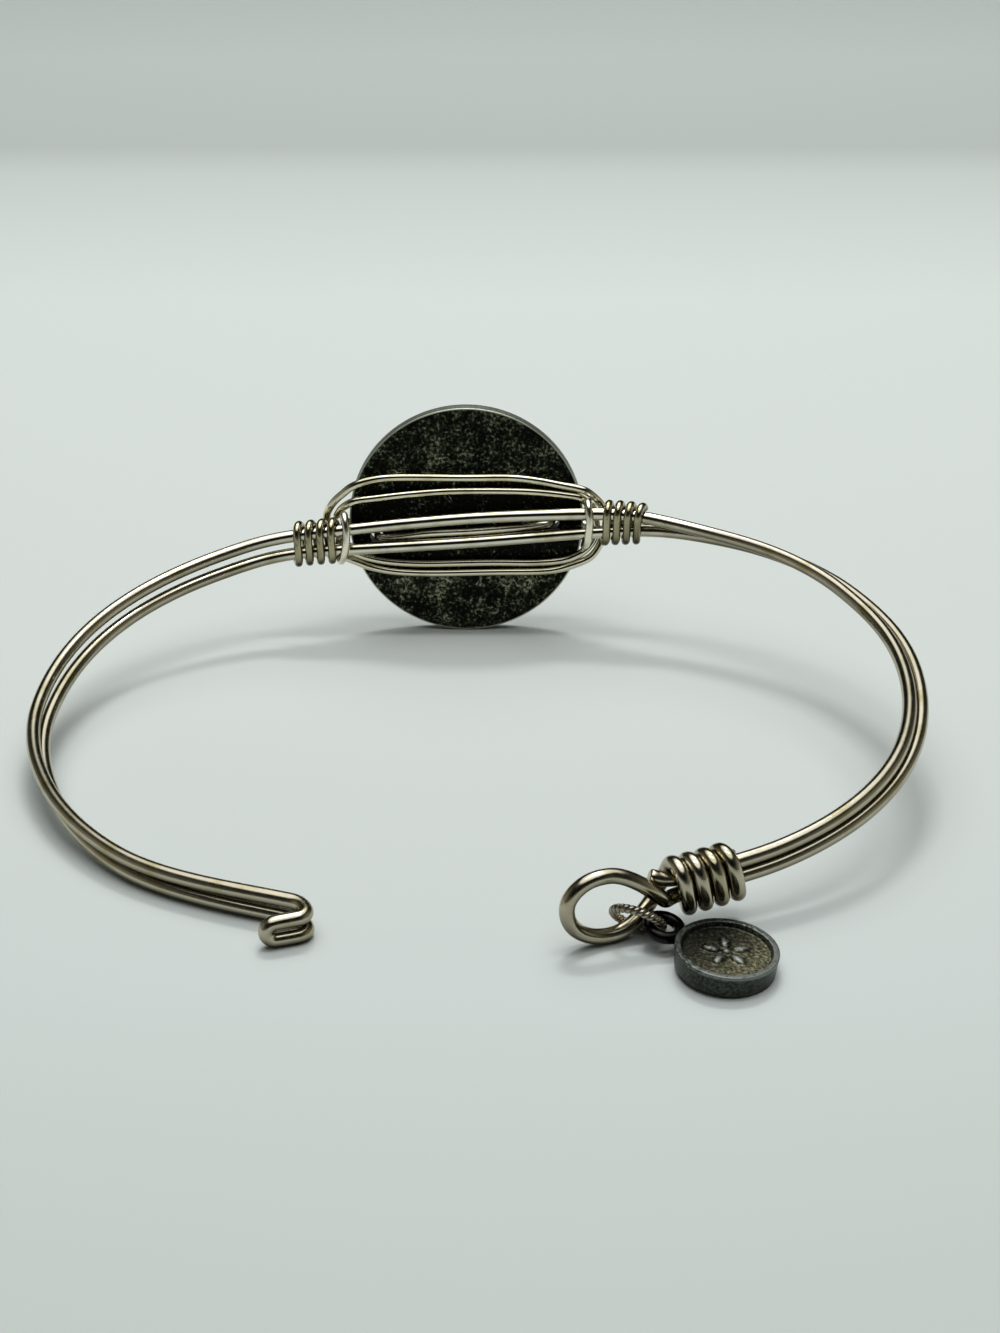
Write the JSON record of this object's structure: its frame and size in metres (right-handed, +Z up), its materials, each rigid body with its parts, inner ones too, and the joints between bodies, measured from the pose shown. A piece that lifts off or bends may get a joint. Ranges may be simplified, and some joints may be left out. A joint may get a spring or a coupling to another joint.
{
  "type": "wire bangle",
  "caption": "Open oval wire bangle with a hook and eye, a round dark disc bound across its back with thin wire, and a small dished tag on a twisted ring.",
  "frame": {"origin": "the middle of the bounding box, on the table that the bangle lies on", "axes": "+Z up from the table, +Y towards the back where the disc stands, +X to the right seen from the hook and eye"},
  "size_m": [0.0647, 0.0543, 0.0191],
  "materials": {
    "blackened_disc": "blackened pewter, satin, finely speckled",
    "bright_wire": "polished silver-coloured wire with small scratches",
    "thin_wire": "polished silver-coloured thin wire, slightly warm",
    "ring_wire": "twisted thin silver-coloured wire, darkened in its grooves",
    "blackened_tag": "blackened cast pewter, worn bright on its rim"
  },
  "bodies": {
    "root": {"disc": "blackened_disc", "band_wire": "bright_wire", "left_binding": "thin_wire", "right_binding": "thin_wire", "outer_lashing": "thin_wire", "inner_lashing": "thin_wire", "disc_staple": "thin_wire", "twisted_ring": "ring_wire", "tag": "blackened_tag"}
  },
  "joints": []
}
